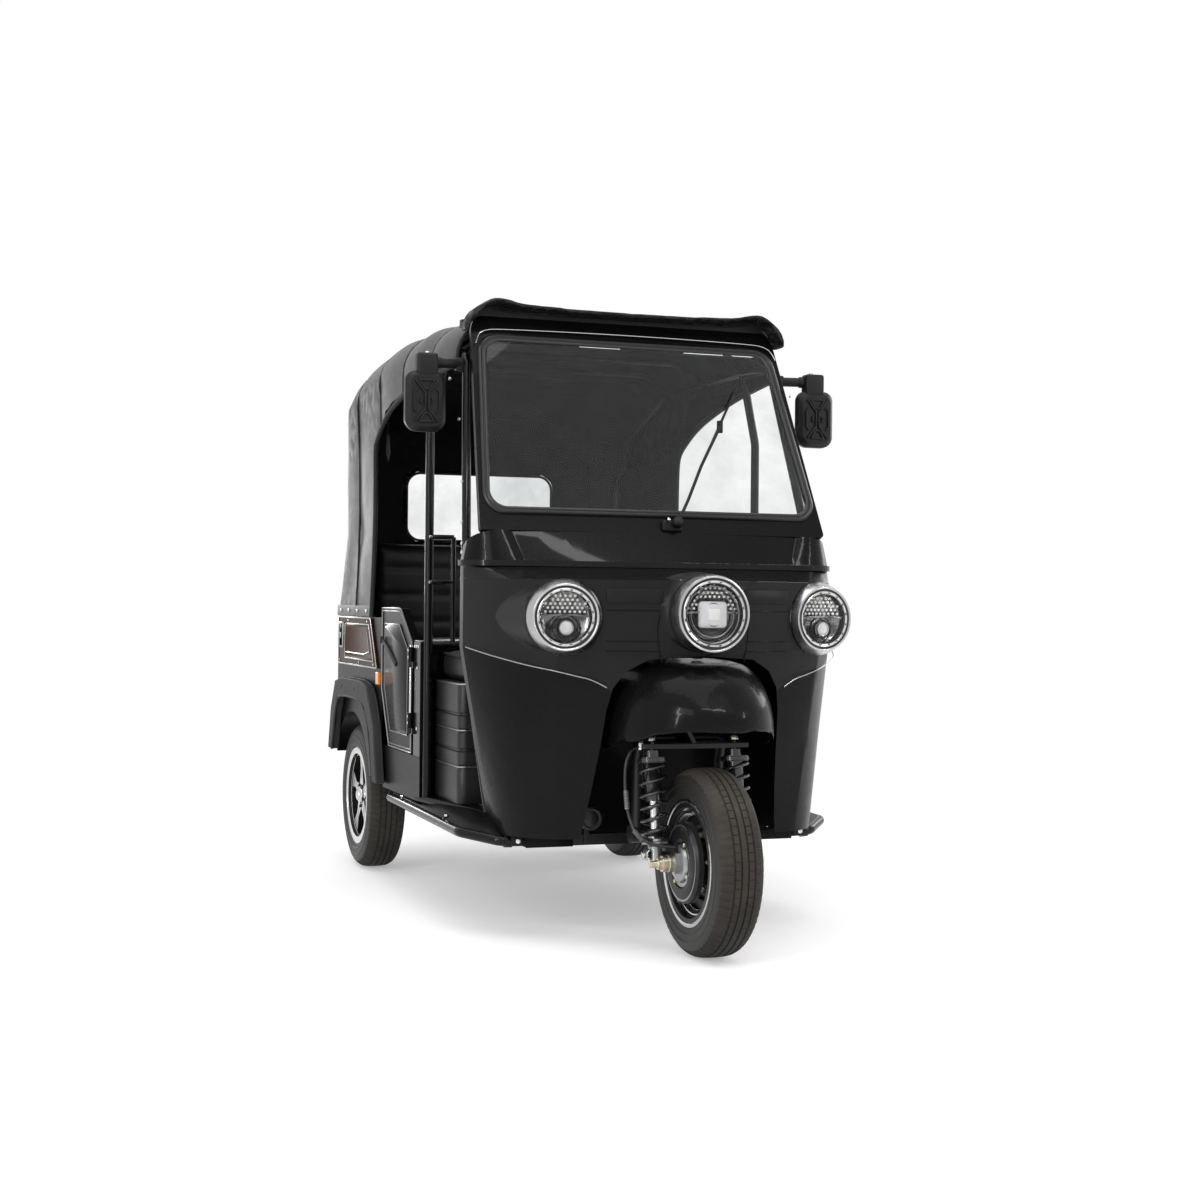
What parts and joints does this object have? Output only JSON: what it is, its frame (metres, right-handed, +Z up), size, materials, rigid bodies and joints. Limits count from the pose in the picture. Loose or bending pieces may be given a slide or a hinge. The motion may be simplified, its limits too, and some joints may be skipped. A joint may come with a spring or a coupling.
{
  "type": "auto rickshaw",
  "caption": "Three-wheel passenger auto rickshaw with a hooped soft canopy, round lamps, low half doors and a single sprung front wheel.",
  "frame": {"origin": "on the ground under the middle of the bounding box", "axes": "+Z up, nose towards -Y, the vehicle's left side towards +X"},
  "size_m": [1.342, 2.5369, 1.784],
  "materials": {
    "black_steel": "gloss",
    "satin_black": "satin",
    "gloss_black": "gloss",
    "charcoal_plastic": "satin",
    "black_trim": "matte",
    "seal_rubber": "matte",
    "screen_glass": "clear",
    "canopy_vinyl": "matte",
    "clear_sheet": "clear",
    "brown_gloss": "gloss",
    "grey_plastic": "matte",
    "ribbed_cover": "satin",
    "seat_leather": "satin",
    "bright_steel": "brushed",
    "lamp_glass": "clear",
    "red_lens": "gloss",
    "amber_lens": "gloss",
    "cast_grey": "rough",
    "spring_steel": "gloss",
    "battery_case": "matte",
    "grip_rubber": "matte",
    "tyre_rubber": "matte",
    "alloy": "machined"
  },
  "bodies": {
    "body": {"chassis_frame": "black_steel", "floor_pan": "satin_black", "front_panel": "gloss_black", "wheel_well": "satin_black", "headlight_fascia": "charcoal_plastic", "cowl": "gloss_black", "cowl_moulding": "black_trim", "windscreen_frame": "gloss_black", "windscreen_seal": "seal_rubber", "windscreen_glass": "screen_glass", "wiper": "black_trim", "roof_visor": "charcoal_plastic", "canopy": "canopy_vinyl", "rear_window": "clear_sheet", "side_frames": "black_steel", "roof_hoops": "black_steel", "rear_body": "gloss_black", "side_trims": "brown_gloss", "wheel_flares": "grey_plastic", "partition": "satin_black", "driver_seat_base": "ribbed_cover", "driver_cushion": "seat_leather", "driver_backrest": "seat_leather", "rear_seat_base": "satin_black", "rear_cushion": "seat_leather", "rear_backrest": "seat_leather", "dashboard": "charcoal_plastic", "side_bars": "black_steel", "mirrors": "charcoal_plastic", "lamp_bezels": "bright_steel", "lamps": "lamp_glass", "horn": "black_trim", "rear_bumper": "black_steel", "tail_lamps": "red_lens", "side_markers": "amber_lens", "plate_holder": "black_trim", "rear_axle": "cast_grey", "leaf_springs": "spring_steel", "battery_pack": "battery_case", "front_fender": "gloss_black"},
    "steering": {"steering_fork": "black_steel", "front_axle": "cast_grey", "shock_left": "spring_steel", "shock_right": "spring_steel", "brake_cable": "black_trim", "handlebar": "black_steel", "grips": "grip_rubber"},
    "front_wheel": {"front_tyre": "tyre_rubber", "front_rim": "black_steel"},
    "rear_wheel_left": {"rear_tyre_left": "tyre_rubber", "rear_rim_left": "alloy"},
    "rear_wheel_right": {"rear_tyre_right": "tyre_rubber", "rear_rim_right": "alloy"},
    "left_door": {"door_left": "gloss_black"},
    "right_door": {"door_right": "gloss_black"},
    "rear_hatch": {"rear_lid": "gloss_black"}
  },
  "joints": [
    {"name": "steering", "type": "hinge", "parent": "body", "child": "steering", "pos_m": [0, -1.0215, 0.26], "axis": [0, 0.5446, 0.8387], "range_deg": [-35, 35]},
    {"name": "front_wheel_spin", "type": "hinge", "parent": "steering", "child": "front_wheel", "pos_m": [0, -1.0215, 0.247], "axis": [1, 0, 0], "continuous": true},
    {"name": "rear_left_wheel_spin", "type": "hinge", "parent": "body", "child": "rear_wheel_left", "pos_m": [0.473, 0.8285, 0.247], "axis": [1, 0, 0], "continuous": true},
    {"name": "rear_right_wheel_spin", "type": "hinge", "parent": "body", "child": "rear_wheel_right", "pos_m": [-0.473, 0.8285, 0.247], "axis": [1, 0, 0], "continuous": true},
    {"name": "left_door_hinge", "type": "hinge", "parent": "body", "child": "left_door", "pos_m": [0.556, -0.0295, 0.6], "axis": [0, 0, -1], "range_deg": [0, 100]},
    {"name": "right_door_hinge", "type": "hinge", "parent": "body", "child": "right_door", "pos_m": [-0.556, -0.0295, 0.6], "axis": [0, 0, 1], "range_deg": [0, 100]},
    {"name": "rear_hatch_hinge", "type": "hinge", "parent": "body", "child": "rear_hatch", "pos_m": [0, 1.1745, 0.444], "axis": [-1, 0, 0], "range_deg": [0, 90]}
  ]
}
